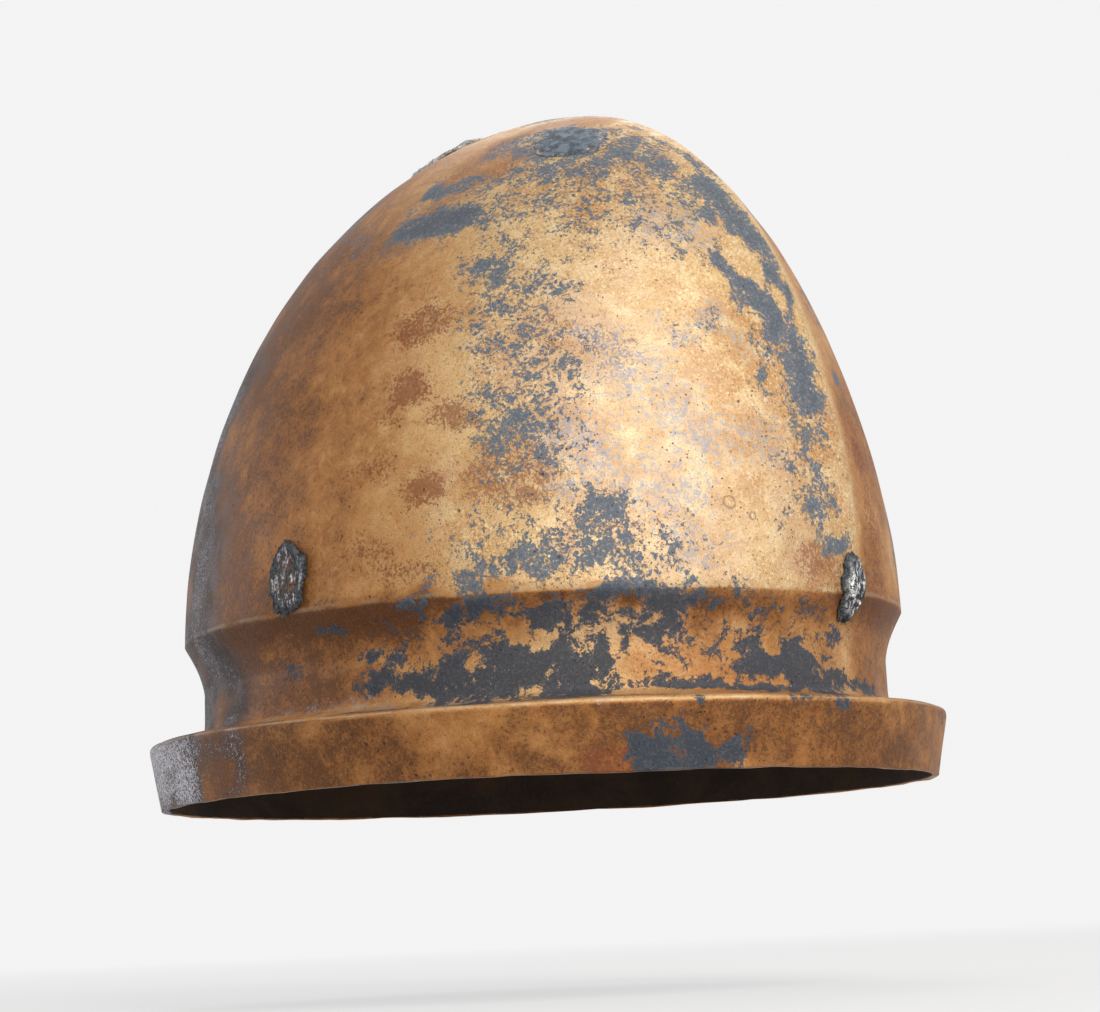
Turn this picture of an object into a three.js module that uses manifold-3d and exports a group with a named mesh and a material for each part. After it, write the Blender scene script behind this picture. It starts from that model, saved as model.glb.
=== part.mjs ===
// An ancient bronze helmet of the Negau type. One raised bowl makes the keeled dome, the
// crease and hollow neck below it, and the banded brim. A flat pierced ring sits inside the
// brim to carry the lining, held by tacks of solder. Crusts of grey solder show where the
// crest's fittings have come away.
//
// Millimetres. Z is up from the brim's lower edge, -Y is the front, -X is the wearer's
// right, and the keel runs fore and aft over the dome in the plane X = 0.

import * as THREE from "three";
import Module from "manifold-3d";

const wasm = await Module();
wasm.setup();

// Driving sizes of the bowl, from the brim up. "Out" is always level, outwards from the neck.
const neckLength = 217; // over the narrowest part, front to back
const neckWidth = 201;
const brimReach = 17.5; // from the neck out to the brim's upper edge, all round
const bandHeight = 19; // the brim's upright face
const bandLean = 3.5; // how far that face leans in at its foot
const bandEdgeRound = 1.4;
const ledgeRise = 4.6; // how far the brim's top slopes up towards the neck
const neckRise = 15; // from the brim's upper edge to the narrowest part
const creaseRise = 16; // from there to the crease below the dome
const creaseReach = 5.8;
const domeRise = 163; // from the crease to the crown, without the keel
const crownShift = 0.2; // how far the crown lies behind the middle
const keelHeight = 2.2;
const keelSpread = 12; // sideways distance in which the keel melts into the dome
const keelFade = 25; // height above the crease in which the keel grows to its full height
const domeWall = 1.6;
const rimWall = 2.4;

// How full the dome's outlines are: powers of 2 and 2 would make an ellipse.
const frontAcrossPower = 2.47;
const frontUpPower = 1.94;
const backAcrossPower = 1.92;
const backUpPower = 2.24;
const sideAcrossPower = 1.45;
const sideUpPower = 1.92;
const bandPlanPower = 2; // the level sections of the brim and the neck
const domePlanPower = 1.88; // the dome's, which are a little pointed fore and aft
const pointedByShare = 0.33; // of the dome's rise, where its sections have got that shape
const neckBendShare = 0.38; // of the rise to the crease, where the neck's curve turns outwards

// The ring for the lining and the tacks of solder that hold it
const ringThickness = 1.2;
const ringOverhang = 7; // inwards past the neck's inner wall
const stitchHoleRadius = 1;
const stitchHoleInset = 4; // from the ring's inner edge to the holes' centres
const stitchHoleCount = 36;
const tackLeg = 2.2; // each side of a tack's three-cornered section
const tackLength = 14;
const tackCount = 6;
const tackTaperShare = 0.5; // how much thinner a tack is at its ends

// The crusts of solder. Their middles lie above the crease or below the crown.
const sideCrust = { aboveCrease: 11.3, halfWide: 7.8, halfTall: 11, thickness: 1.5 };
const keelEndCrust = { aboveCrease: 1.5, halfWide: 6.3, halfTall: 9.5, thickness: 2.2 };
const rearCrestCrust = { belowCrown: 7, halfWide: 7, halfTall: 10, thickness: 2 };
const crestFootFilm = { belowCrown: 17, halfWide: 13, halfTall: 12, thickness: 0.5 };
const sideCrustTurnShare = 0.259; // of a full turn from the front
const crestFootTurnShare = 0.133;
const crustEdge = 0.3; // how thick a crust still is at its rim
const crustWavinessShares = [0.08, 0.06]; // how far a crust's outline wanders in and out
const crustLumpShare = 0.2; // how far its top does

const seatGap = 0.3; // between touching pieces
const cutOverrun = 1.5; // how deep a crust starts inside the bowl before its seat is cut

// How finely the surfaces are divided
const turnSteps = 64;
const domeSteps = 22;
const ledgeSteps = 6;
const neckSteps = 4;
const crustSpokes = 18;
const crustRings = 4;
const tackSteps = 4;
const holeSides = 8;
const keelCrowdingShare = 0.45; // how strongly the divisions crowd towards the keel
const probeShare = 0.001; // of a size, between the close neighbours that give a normal
const sharpestMitreShare = 0.7; // of a wall, kept where two bands meet in a sharp corner

const fullTurn = 2 * Math.PI;
const toFront = 0;
const toBack = fullTurn / 2;
const neckHeight = bandHeight + neckRise;
const creaseHeight = neckHeight + creaseRise;
const creaseFront = neckLength / 2 + creaseReach;
const creaseSide = neckWidth / 2 + creaseReach;
const crown = new THREE.Vector3(0, crownShift, creaseHeight + domeRise);

const bronze = new THREE.MeshStandardMaterial({ color: 0xb07c3f, metalness: 0.6, roughness: 0.45 });
const ringBronze = new THREE.MeshStandardMaterial({ color: 0x6b4f30, metalness: 0.6, roughness: 0.6 });
const solder = new THREE.MeshStandardMaterial({ color: 0x6f7072, metalness: 0.5, roughness: 0.7 });
const slateFilm = new THREE.MeshStandardMaterial({ color: 0x4a5158, metalness: 0.3, roughness: 0.6 });

// The brim's top and the neck are two curves, of distance out against height.
const ledgeCurve = new THREE.QuadraticBezierCurve(
  new THREE.Vector2(brimReach, bandHeight),
  new THREE.Vector2(0, bandHeight + ledgeRise),
  new THREE.Vector2(0, neckHeight),
);
const neckCurve = new THREE.QuadraticBezierCurve(
  new THREE.Vector2(0, neckHeight),
  new THREE.Vector2(0, neckHeight + neckBendShare * creaseRise),
  new THREE.Vector2(creaseReach, creaseHeight),
);

// A level section: how far it reaches forwards, backwards and sideways, and its height.
function bandSection(out, height) {
  const reach = neckLength / 2 + out;
  const side = neckWidth / 2 + out;
  return { front: -reach, back: reach, side, height, planPower: bandPlanPower };
}

function narrowing(riseShare, acrossPower, upPower) {
  return Math.max(0, 1 - riseShare ** upPower) ** (1 / acrossPower);
}

function domeSection(height) {
  const riseShare = Math.min(1, (height - creaseHeight) / domeRise);
  const pointed = Math.min(1, riseShare / pointedByShare);
  const toFrontEnd = (creaseFront + crownShift) * narrowing(riseShare, frontAcrossPower, frontUpPower);
  const toBackEnd = (creaseFront - crownShift) * narrowing(riseShare, backAcrossPower, backUpPower);
  return {
    front: crownShift - toFrontEnd,
    back: crownShift + toBackEnd,
    side: creaseSide * narrowing(riseShare, sideAcrossPower, sideUpPower),
    height,
    planPower: THREE.MathUtils.lerp(bandPlanPower, domePlanPower, pointed),
  };
}

// The distance out at which a rising curve reaches a height.
function outAtHeight(curve, height) {
  let low = 0;
  let high = 1;
  for (let halving = 0; halving < 30; halving++) {
    const middle = (low + high) / 2;
    if (curve.getPoint(middle).y < height) low = middle;
    else high = middle;
  }
  return curve.getPoint(low).x;
}

function sectionAt(height) {
  if (height >= creaseHeight) return domeSection(height);
  const curve = height >= neckHeight ? neckCurve : ledgeCurve;
  return bandSection(outAtHeight(curve, height), height);
}

// A point of a section. The turn starts at the front and runs towards the wearer's left.
function sectionPoint(section, turn) {
  const sin = Math.sin(turn);
  const middle = (section.front + section.back) / 2;
  const reach = (section.back - section.front) / 2;
  const x = section.side * Math.sign(sin) * Math.abs(sin) ** (2 / section.planPower);
  return new THREE.Vector3(x, middle - reach * Math.cos(turn), section.height);
}

function keelAt(point) {
  const grown = THREE.MathUtils.clamp((point.z - creaseHeight) / keelFade, 0, 1);
  return keelHeight * grown * Math.exp(-Math.abs(point.x) / keelSpread);
}

// The divisions round the bowl, closer together at the keel's two ends.
const turns = [];
for (let step = 0; step < turnSteps; step++) {
  const even = (step / turnSteps) * fullTurn;
  turns.push(even - (keelCrowdingShare * Math.sin(2 * even)) / 2);
}

// The sections from the brim's lower edge up to the last one below the crown.
function bowlSections() {
  const sections = [bandSection(brimReach - bandLean, 0), bandSection(brimReach, bandHeight)];
  for (let step = 1; step <= ledgeSteps; step++) {
    const point = ledgeCurve.getPoint(step / ledgeSteps);
    sections.push(bandSection(point.x, point.y));
  }
  for (let step = 1; step <= neckSteps; step++) {
    const point = neckCurve.getPoint(step / neckSteps);
    sections.push(bandSection(point.x, point.y));
  }
  for (let step = 1; step < domeSteps; step++) {
    const riseShare = Math.sin(((step / domeSteps) * Math.PI) / 2);
    sections.push(domeSection(creaseHeight + riseShare * domeRise));
  }
  return sections;
}

function unitNormal(along, up) {
  return new THREE.Vector3().crossVectors(along, up).normalize();
}

// The normals of a grid of rows, and how much longer they are where two bands meet mitred.
function gridNormals(rows) {
  return rows.map((row, level) =>
    row.map((point, step) => {
      const next = row[(step + 1) % row.length];
      const last = row[(step + row.length - 1) % row.length];
      const along = next.clone().sub(last);
      const above = level + 1 < rows.length ? rows[level + 1][step] : crown;
      const upper = unitNormal(along, above.clone().sub(point));
      const lower = level > 0 ? unitNormal(along, point.clone().sub(rows[level - 1][step])) : upper;
      const mean = upper.clone().add(lower).normalize();
      return { mean, mitre: 1 / Math.max(mean.dot(upper), sharpestMitreShare) };
    }),
  );
}

// The outer surface: the plain sections, with the keel raised along their normals.
const plainRows = bowlSections().map((section) => turns.map((turn) => sectionPoint(section, turn)));
const plainNormals = gridNormals(plainRows);
const outerRows = plainRows.map((row, level) =>
  row.map((point, step) => point.clone().addScaledVector(plainNormals[level][step].mean, keelAt(point))),
);

// The outer surface again, a seat's gap further out: what the crusts are cut to lie on.
const outerNormals = gridNormals(outerRows);
const seatRows = outerRows.map((row, level) =>
  row.map((point, step) => {
    const { mean, mitre } = outerNormals[level][step];
    return point.clone().addScaledVector(mean, seatGap * mitre);
  }),
);

// The inner surface: the brim's wall is thick, and thins over the ledge to the dome's.
const bandSlope = Math.hypot(bandLean, bandHeight) / bandHeight;
const bandWallOut = rimWall * bandSlope; // the band's wall, measured level
const innerRows = outerRows.map((row, level) => {
  if (level === 0) {
    const foot = bandSection(brimReach - bandLean - bandWallOut, 0);
    return turns.map((turn) => sectionPoint(foot, turn));
  }
  const thinned = THREE.MathUtils.clamp((level - 1) / ledgeSteps, 0, 1);
  const wall = THREE.MathUtils.lerp(rimWall, domeWall, thinned);
  return row.map((point, step) => {
    const { mean, mitre } = outerNormals[level][step];
    return point.clone().addScaledVector(mean, -wall * mitre);
  });
});

// The brim's outer edge is rounded, on the outside only.
function roundBrimEdge([foot, edge, ledge, ...rest]) {
  const backedOff = (towards) =>
    edge.map((point, step) => {
      const way = towards[step].clone().sub(point).setLength(bandEdgeRound);
      return point.clone().add(way);
    });
  const under = backedOff(foot);
  const over = backedOff(ledge);
  const middle = edge.map((point, step) => {
    const chord = under[step].clone().lerp(over[step], 0.5);
    return chord.lerp(point, 0.5);
  });
  return [foot, under, middle, over, ledge, ...rest];
}

// Builds one closed surface from rows of points.
class Skin {
  constructor() {
    this.points = [];
    this.faces = [];
  }

  row(points) {
    const first = this.points.length;
    this.points.push(...points);
    return points.map((point, step) => first + step);
  }

  // Joins two rows that both run round and close.
  band(low, high) {
    low.forEach((corner, step) => {
      const next = (step + 1) % low.length;
      this.faces.push(corner, low[next], high[next]);
      this.faces.push(corner, high[next], high[step]);
    });
  }

  // Closes a row with one middle point, facing the other way where turned.
  cap(row, middlePoint, turned) {
    const [middle] = this.row([middlePoint]);
    row.forEach((corner, step) => {
      const next = row[(step + 1) % row.length];
      if (turned) this.faces.push(next, corner, middle);
      else this.faces.push(corner, next, middle);
    });
  }

  places() {
    return this.points.flatMap((point) => point.toArray());
  }

  mesh(name, material) {
    return indexedMesh(name, this.places(), this.faces, material);
  }

  solid() {
    const vertProperties = new Float32Array(this.places());
    const triVerts = new Uint32Array(this.faces);
    return new wasm.Manifold(new wasm.Mesh({ numProp: 3, vertProperties, triVerts }));
  }
}

function indexedMesh(name, places, faces, material) {
  const geometry = new THREE.BufferGeometry();
  geometry.setAttribute("position", new THREE.Float32BufferAttribute(places, 3));
  geometry.setIndex(Array.from(faces));
  geometry.computeVertexNormals();
  return namedMesh(name, geometry, material);
}

function namedMesh(name, geometry, material) {
  const mesh = new THREE.Mesh(geometry, material);
  mesh.name = name;
  return mesh;
}

function makeBowl() {
  const skin = new Skin();
  const outer = roundBrimEdge(outerRows).map((row) => skin.row(row));
  const inner = innerRows.map((row) => skin.row(row));
  for (let level = 0; level + 1 < outer.length; level++) skin.band(outer[level], outer[level + 1]);
  for (let level = 0; level + 1 < inner.length; level++) skin.band(inner[level + 1], inner[level]);
  skin.band(inner[0], outer[0]);
  const keelTop = crown.z + keelHeight;
  skin.cap(outer.at(-1), crown.clone().setZ(keelTop), false);
  skin.cap(inner.at(-1), crown.clone().setZ(keelTop - domeWall), true);
  return skin.mesh("helmet_bowl", bronze);
}

// How far out the band's inner wall lies at a height.
function bandInnerOut(height) {
  return brimReach - bandLean * (1 - height / bandHeight) - bandWallOut;
}

// The ring lies up in the brim's inner corner.
const brimInnerCorner = Math.min(...innerRows[1].map((point) => point.z));
const ringTop = brimInnerCorner - seatGap;
const ringBottom = ringTop - ringThickness;
const ringOuterOut = bandInnerOut(ringBottom) - seatGap;
const ringInnerOut = -domeWall - ringOverhang;

function planOutline(out) {
  return turns.map((turn) => {
    const point = sectionPoint(bandSection(out, 0), turn);
    return new THREE.Vector2(point.x, point.y);
  });
}

function stitchHole(index) {
  const centre = sectionPoint(
    bandSection(ringInnerOut + stitchHoleInset, 0),
    ((index + 0.5) / stitchHoleCount) * fullTurn,
  );
  const rim = [];
  for (let side = 0; side < holeSides; side++) {
    const angle = (side / holeSides) * fullTurn;
    const x = centre.x + stitchHoleRadius * Math.cos(angle);
    const y = centre.y + stitchHoleRadius * Math.sin(angle);
    rim.push(new THREE.Vector2(x, y));
  }
  return new THREE.Path(rim);
}

function makeLiningRing() {
  const shape = new THREE.Shape(planOutline(ringOuterOut));
  shape.holes.push(new THREE.Path(planOutline(ringInnerOut)));
  for (let index = 0; index < stitchHoleCount; index++) shape.holes.push(stitchHole(index));
  const geometry = new THREE.ExtrudeGeometry(shape, { depth: ringThickness, bevelEnabled: false });
  geometry.translate(0, 0, ringBottom);
  return namedMesh("lining_ring", geometry, ringBronze);
}

// A point on the flats between the bowl's divisions, so that a tack lies along the wall.
function flatPoint(out, height, turn) {
  const wrapped = THREE.MathUtils.euclideanModulo(turn, fullTurn);
  const next = turns.findIndex((start) => start > wrapped);
  const from = next < 0 ? turns.at(-1) : turns[next - 1];
  const to = next < 0 ? fullTurn : turns[next];
  const section = bandSection(out, height);
  return sectionPoint(section, from).lerp(sectionPoint(section, to), (wrapped - from) / (to - from));
}

// One tack in the corner below the ring, three-cornered and thinner at its ends.
function makeTack(index) {
  const skin = new Skin();
  const middleTurn = ((index + 0.5) / tackCount) * fullTurn;
  const halfTurn = tackLength / 2 / (neckLength / 2 + ringOuterOut);
  const top = ringBottom - seatGap;
  const topOut = bandInnerOut(top) - seatGap;
  const rows = [];
  for (let step = 0; step <= tackSteps; step++) {
    const along = (2 * step) / tackSteps - 1;
    const turn = middleTurn + along * halfTurn;
    const leg = tackLeg * (1 - tackTaperShare * along * along);
    const footOut = bandInnerOut(top - leg) - seatGap;
    rows.push(
      skin.row([
        flatPoint(topOut, top, turn),
        flatPoint(topOut - leg, top, turn),
        flatPoint(footOut, top - leg, turn),
      ]),
    );
  }
  for (let step = 0; step < tackSteps; step++) skin.band(rows[step + 1], rows[step]);
  skin.faces.push(...rows[0]);
  skin.faces.push(...rows.at(-1).reverse());
  return skin.mesh(`ring_solder_tack_${index + 1}`, solder);
}

// A point of the bowl's smooth outer surface, with the normal there.
function bowlSpot(turn, height) {
  const probe = probeShare * domeRise;
  const at = (someTurn, someHeight) => sectionPoint(sectionAt(someHeight), someTurn);
  const point = at(turn, height);
  const along = at(turn + probeShare, height).sub(at(turn - probeShare, height));
  const up = at(turn, height + probe).sub(at(turn, height - probe));
  const normal = unitNormal(along, up);
  return { point: point.addScaledVector(normal, keelAt(point)), normal };
}

function makeSeatCutter() {
  const skin = new Skin();
  const rows = seatRows.map((row) => skin.row(row));
  for (let level = 0; level + 1 < rows.length; level++) skin.band(rows[level], rows[level + 1]);
  skin.cap(rows.at(-1), crown.clone().setZ(crown.z + keelHeight + seatGap), false);
  skin.cap(rows[0], new THREE.Vector3(), true);
  return skin.solid();
}
const seatCutter = makeSeatCutter();

function crustHeight(size) {
  return "aboveCrease" in size ? creaseHeight + size.aboveCrease : crown.z - size.belowCrown;
}

// A crust that follows the bowl's outside, thickest within and uneven at its rim.
function makeCrust(name, size, turn, material) {
  const skin = new Skin();
  const height = crustHeight(size);
  const section = sectionAt(height);
  const reach = (section.back - section.front) / 2;
  const turnPerLength = 1 / Math.hypot(section.side * Math.cos(turn), reach * Math.sin(turn));
  const { normal: tilt } = bowlSpot(turn, height);
  const risePerLength = Math.hypot(tilt.x, tilt.y);
  const lift = (wide, tall, thickness) => {
    const { point, normal } = bowlSpot(turn + wide * turnPerLength, height + tall * risePerLength);
    return point.addScaledVector(normal, seatGap + thickness);
  };
  const hump = (share, angle) => {
    const lump = 1 - crustLumpShare + crustLumpShare * Math.sin(2 * angle + fullTurn * share);
    return crustEdge + (size.thickness - crustEdge) * Math.sqrt(1 - share * share) * lump;
  };
  const layerRow = (share, thicknessAt) => {
    const points = [];
    for (let spoke = 0; spoke < crustSpokes; spoke++) {
      const angle = (spoke / crustSpokes) * fullTurn;
      const [slow, quick] = crustWavinessShares;
      const reachShare = share * (1 + share * (slow * Math.sin(3 * angle + 1) + quick * Math.sin(5 * angle)));
      const wide = size.halfWide * reachShare * Math.cos(angle);
      const tall = size.halfTall * reachShare * Math.sin(angle);
      points.push(lift(wide, tall, thicknessAt(share, angle)));
    }
    return skin.row(points);
  };
  const shares = Array.from({ length: crustRings }, (unused, ring) => (ring + 1) / crustRings);
  const top = shares.map((share) => layerRow(share, hump));
  const seat = shares.map((share) => layerRow(share, () => -cutOverrun));
  for (let ring = 0; ring + 1 < crustRings; ring++) {
    skin.band(top[ring + 1], top[ring]);
    skin.band(seat[ring], seat[ring + 1]);
  }
  skin.band(seat.at(-1), top.at(-1));
  skin.cap(top[0], lift(0, 0, size.thickness), false);
  skin.cap(seat[0], lift(0, 0, -cutOverrun), true);
  const cut = skin.solid().subtract(seatCutter).getMesh();
  return indexedMesh(name, cut.vertProperties, cut.triVerts, material);
}

const helmet = new THREE.Group();
helmet.add(makeBowl());
helmet.add(makeLiningRing());
for (let index = 0; index < tackCount; index++) helmet.add(makeTack(index));
helmet.add(makeCrust("front_solder", keelEndCrust, toFront, solder));
helmet.add(makeCrust("back_solder", keelEndCrust, toBack, solder));
helmet.add(makeCrust("left_solder", sideCrust, sideCrustTurnShare * fullTurn, solder));
helmet.add(makeCrust("right_solder", sideCrust, -sideCrustTurnShare * fullTurn, solder));
helmet.add(makeCrust("crest_rear_solder", rearCrestCrust, toBack, solder));
helmet.add(makeCrust("crest_foot_film", crestFootFilm, -crestFootTurnShare * fullTurn, slateFilm));

export default helmet;
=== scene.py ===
import math
import bpy
import numpy as np
from mathutils import Matrix, Vector, noise


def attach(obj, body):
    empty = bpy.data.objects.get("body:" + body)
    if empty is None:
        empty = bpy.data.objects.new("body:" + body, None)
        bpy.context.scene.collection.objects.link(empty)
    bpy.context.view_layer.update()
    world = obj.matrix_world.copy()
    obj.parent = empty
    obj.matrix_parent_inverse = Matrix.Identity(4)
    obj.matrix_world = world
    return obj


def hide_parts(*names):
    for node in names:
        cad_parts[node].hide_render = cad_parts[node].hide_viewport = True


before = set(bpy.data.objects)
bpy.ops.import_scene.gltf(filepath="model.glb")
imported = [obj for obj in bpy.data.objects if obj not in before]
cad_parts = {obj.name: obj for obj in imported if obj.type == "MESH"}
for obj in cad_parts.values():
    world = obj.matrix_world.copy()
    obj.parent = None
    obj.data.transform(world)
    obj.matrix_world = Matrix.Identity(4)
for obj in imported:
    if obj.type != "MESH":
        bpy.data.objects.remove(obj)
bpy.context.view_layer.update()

# The camera
# It stands to the right of the helmet's front, a little below its rim, and looks up
# through a long lens that is slightly rolled. Places on the bowl are named by where
# this camera sees them.
photo_width, photo_height = 1100, 1012
photo_focal = 2500
sensor_width = 36
camera_place = Vector((-0.6102, -0.4830, -0.0386))
camera_heading = math.radians(52)
camera_rise = math.radians(9.45)
camera_roll = math.radians(2.55)

ahead = Vector((
    math.sin(camera_heading) * math.cos(camera_rise),
    math.cos(camera_heading) * math.cos(camera_rise),
    math.sin(camera_rise),
))
level_right = Vector((math.cos(camera_heading), -math.sin(camera_heading), 0))
level_up = level_right.cross(ahead)
picture_right = level_right * math.cos(camera_roll) - level_up * math.sin(camera_roll)
picture_up = level_right * math.sin(camera_roll) + level_up * math.cos(camera_roll)

bpy.ops.object.select_all(action="DESELECT")
bpy.ops.object.camera_add()
camera = bpy.context.object
camera.name = "photo_camera"
camera.data.sensor_width = sensor_width
camera.data.lens = photo_focal / photo_width * sensor_width
camera_turn = Matrix((picture_right, picture_up, -ahead)).transposed()
camera.matrix_world = Matrix.Translation(camera_place) @ camera_turn.to_4x4()
bpy.context.scene.camera = camera


def sight_line(x, y):
    """The direction in which the camera sees a pixel of the photograph."""
    across = picture_right * (x - photo_width / 2)
    upward = picture_up * (photo_height / 2 - y)
    return (ahead * photo_focal + across + upward).normalized()


# The studio
# A pale round floor lies just below the camera, and the helmet is held up over it as on a
# thin stand. Away from the helmet the floor passes over into the pale surround.
# A large soft lamp stands to the camera's right, a narrow cool one far to its left and
# another large one high behind the helmet, and a pale surround fills in.
millimetre = 0.001
floor_height = -0.06
floor_radius = 7
floor_tone = (0.84, 0.84, 0.83, 1)
floor_roughness = 0.9
floor_glow = 0.70
floor_fade_from, floor_fade_to = 0.5, 1.7
surround_tone = (0.90, 0.90, 0.90, 1)
fill_strength = 0.16
helmet_middle = Vector((0, 0, 0.1))


def lamp(name, azimuth, elevation, distance, size, watts, tone):
    """A square soft lamp that looks at the helmet; azimuth goes from its front towards +X."""
    turn, rise = math.radians(azimuth), math.radians(elevation)
    way = Vector((
        math.sin(turn) * math.cos(rise),
        -math.cos(turn) * math.cos(rise),
        math.sin(rise),
    ))
    bpy.ops.object.light_add(type="AREA", location=helmet_middle + way * distance)
    light = bpy.context.object
    light.name = name
    light.data.size = size
    light.data.energy = watts
    light.data.color = tone
    light.rotation_euler = way.to_track_quat("Z", "Y").to_euler()


lamp("key_lamp", azimuth=-24, elevation=29, distance=1.5, size=0.9, watts=19.5, tone=(1, 0.98, 0.95))
lamp("rim_lamp", azimuth=-160, elevation=10, distance=1.4, size=0.3, watts=3.5, tone=(0.88, 0.93, 1))
lamp("back_lamp", azimuth=120, elevation=40, distance=1.8, size=0.9, watts=11, tone=(1, 1, 1))

bpy.ops.mesh.primitive_circle_add(
    vertices=96, radius=floor_radius, fill_type="NGON", location=(0, 0, floor_height))
floor = bpy.context.object
floor.name = "studio_floor"
bpy.ops.object.transform_apply(location=True, rotation=False, scale=False)


def paint(red, green, blue):
    """A colour as a screen shows it, 0 to 255, for a shader's socket."""
    def linear(value):
        share = value / 255
        return share / 12.92 if share <= 0.04045 else ((share + 0.055) / 1.055) ** 2.4
    return (linear(red), linear(green), linear(blue), 1)


class Finish:
    """A material that is built up step by step; each step takes numbers or sockets."""

    def __init__(self, name):
        self.material = bpy.data.materials.new(name)
        self.material.use_nodes = True
        self.tree = self.material.node_tree
        self.surface = self.tree.nodes["Principled BSDF"]
        self.place = self.node("TexCoord", {}).outputs["Object"]

    def feed(self, socket, value):
        """Links a socket to this one, or sets it to a number, a place or a colour."""
        if isinstance(value, bpy.types.NodeSocket):
            self.tree.links.new(value, socket)
        else:
            socket.default_value = value

    def node(self, kind, inputs, **settings):
        """A new node of this kind with these settings, and its inputs fed."""
        node = self.tree.nodes.new("ShaderNode" + kind)
        for name, value in settings.items():
            setattr(node, name, value)
        for name, value in inputs.items():
            self.feed(node.inputs[name], value)
        return node

    def noise(self, size, detail, roughness, swirl=0, at=None):
        """Cloudy noise, 0 to 1, with blotches of this size in millimetres."""
        return self.node("TexNoise", {
            "Vector": at or self.place, "Scale": 1000 / size, "Detail": detail,
            "Roughness": roughness, "Distortion": swirl}).outputs["Fac"]

    def cells(self, size, feature="F1"):
        """The distance to the nearest of scattered points, about 0 to 1."""
        inputs = {"Vector": self.place, "Scale": 1000 / size}
        return self.node("TexVoronoi", inputs, feature=feature).outputs["Distance"]

    def worn(self, name):
        """A value that the mesh carries at its vertices."""
        return self.node("Attribute", {}, attribute_name=name).outputs["Fac"]

    def maths(self, operation, a, b=0.0, c=0.0):
        """One sum on numbers, named as Blender names it."""
        return self.node("Math", {0: a, 1: b, 2: c}, operation=operation).outputs[0]

    def step(self, value, low, high, start=0.0, end=1.0):
        """A smooth step from start to end as the value goes from low to high."""
        inputs = {
            "Value": value, "From Min": low, "From Max": high, "To Min": start, "To Max": end}
        return self.node("MapRange", inputs, interpolation_type="SMOOTHSTEP").outputs["Result"]

    def swing(self, value, reach):
        """Noise of 0 to 1 as a rise and fall on both sides of 0."""
        return self.maths("MULTIPLY_ADD", value, reach, -reach / 2)

    def total(self, first, *others):
        """The sum of all of these."""
        for other in others:
            first = self.maths("ADD", first, other)
        return first

    def product(self, first, *others):
        """All of these multiplied with each other."""
        for other in others:
            first = self.maths("MULTIPLY", first, other)
        return first

    def blend(self, share, a, b):
        """Colour a where the share is 0 and colour b where it is 1."""
        return self.node("Mix", {0: share, 6: a, 7: b}, data_type="RGBA").outputs[2]

    def tint(self, colour, tone, value, low, high, share):
        """The colour turned to a tone, by up to this share, as the value goes from low to high."""
        return self.blend(self.step(value, low, high, 0, share), colour, tone)

    def between(self, share, a, b):
        """Number a where the share is 0 and number b where it is 1."""
        return self.node("Mix", {0: share, 2: a, 3: b}).outputs[0]

    def vector(self, operation, a, b=(0, 0, 0), scale=None, result="Vector"):
        """One sum on places or directions, named as Blender names it."""
        inputs = {0: a, 1: b}
        if scale is not None:
            inputs["Scale"] = scale
        return self.node("VectorMath", inputs, operation=operation).outputs[result]

    def stretched(self, x, y, z, turn=(0, 0, 0)):
        """The place on the piece, scaled by these factors, for streaks."""
        inputs = {"Vector": self.place, "Rotation": turn, "Scale": (x, y, z)}
        return self.node("Mapping", inputs).outputs["Vector"]

    def shifted(self, size, reach):
        """The place, moved about by noise of this size and reach in millimetres."""
        noise_there = self.node("TexNoise", {"Vector": self.place, "Scale": 1000 / size})
        centred = self.vector("SUBTRACT", noise_there.outputs["Color"], (0.5, 0.5, 0.5))
        moved = self.vector("SCALE", centred, scale=reach * millimetre * 2)
        return self.vector("ADD", self.place, moved)

    def line_gap(self, path, at):
        """The distance in metres to a path of surface points."""
        nearest = None
        for start, end in zip(path, path[1:]):
            along = end - start
            from_start = self.vector("SUBTRACT", at, tuple(start))
            per_length = tuple(along / (along @ along))
            share = self.vector("DOT_PRODUCT", from_start, per_length, result="Value")
            foot = self.vector("SCALE", tuple(along), scale=self.step(share, 0, 1))
            gap = self.vector("DISTANCE", from_start, foot, result="Value")
            nearest = gap if nearest is None else self.maths("MINIMUM", nearest, gap)
        return nearest

    def height(self):
        """How high the place lies over the helmet's foot, in millimetres."""
        return self.maths("MULTIPLY", self.node("SeparateXYZ", {0: self.place}).outputs["Z"], 1000)

    def relief(self, height, depth, under=None):
        """Bumps of this depth in millimetres, over the bumps under them."""
        inputs = {"Height": height, "Distance": depth * millimetre}
        if under:
            inputs["Normal"] = under
        return self.node("Bump", inputs).outputs["Normal"]

    def done(self, colour, metallic, rough, bumps):
        """The finished material, its shader fed with these."""
        looks = {"Base Color": colour, "Metallic": metallic, "Roughness": rough, "Normal": bumps}
        for name, value in looks.items():
            self.feed(self.surface.inputs[name], value)
        return self.material


def ray_seen(tree):
    """1 for what the camera sees, straight or through gloss and glass, and 0 for light."""
    rays = tree.nodes.new("ShaderNodeLightPath")
    share = rays.outputs["Is Camera Ray"]
    for kind in ("Is Glossy Ray", "Is Transmission Ray"):
        either = tree.nodes.new("ShaderNodeMath")
        either.operation = "MAXIMUM"
        tree.links.new(share, either.inputs[0])
        tree.links.new(rays.outputs[kind], either.inputs[1])
        share = either.outputs[0]
    return share


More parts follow.
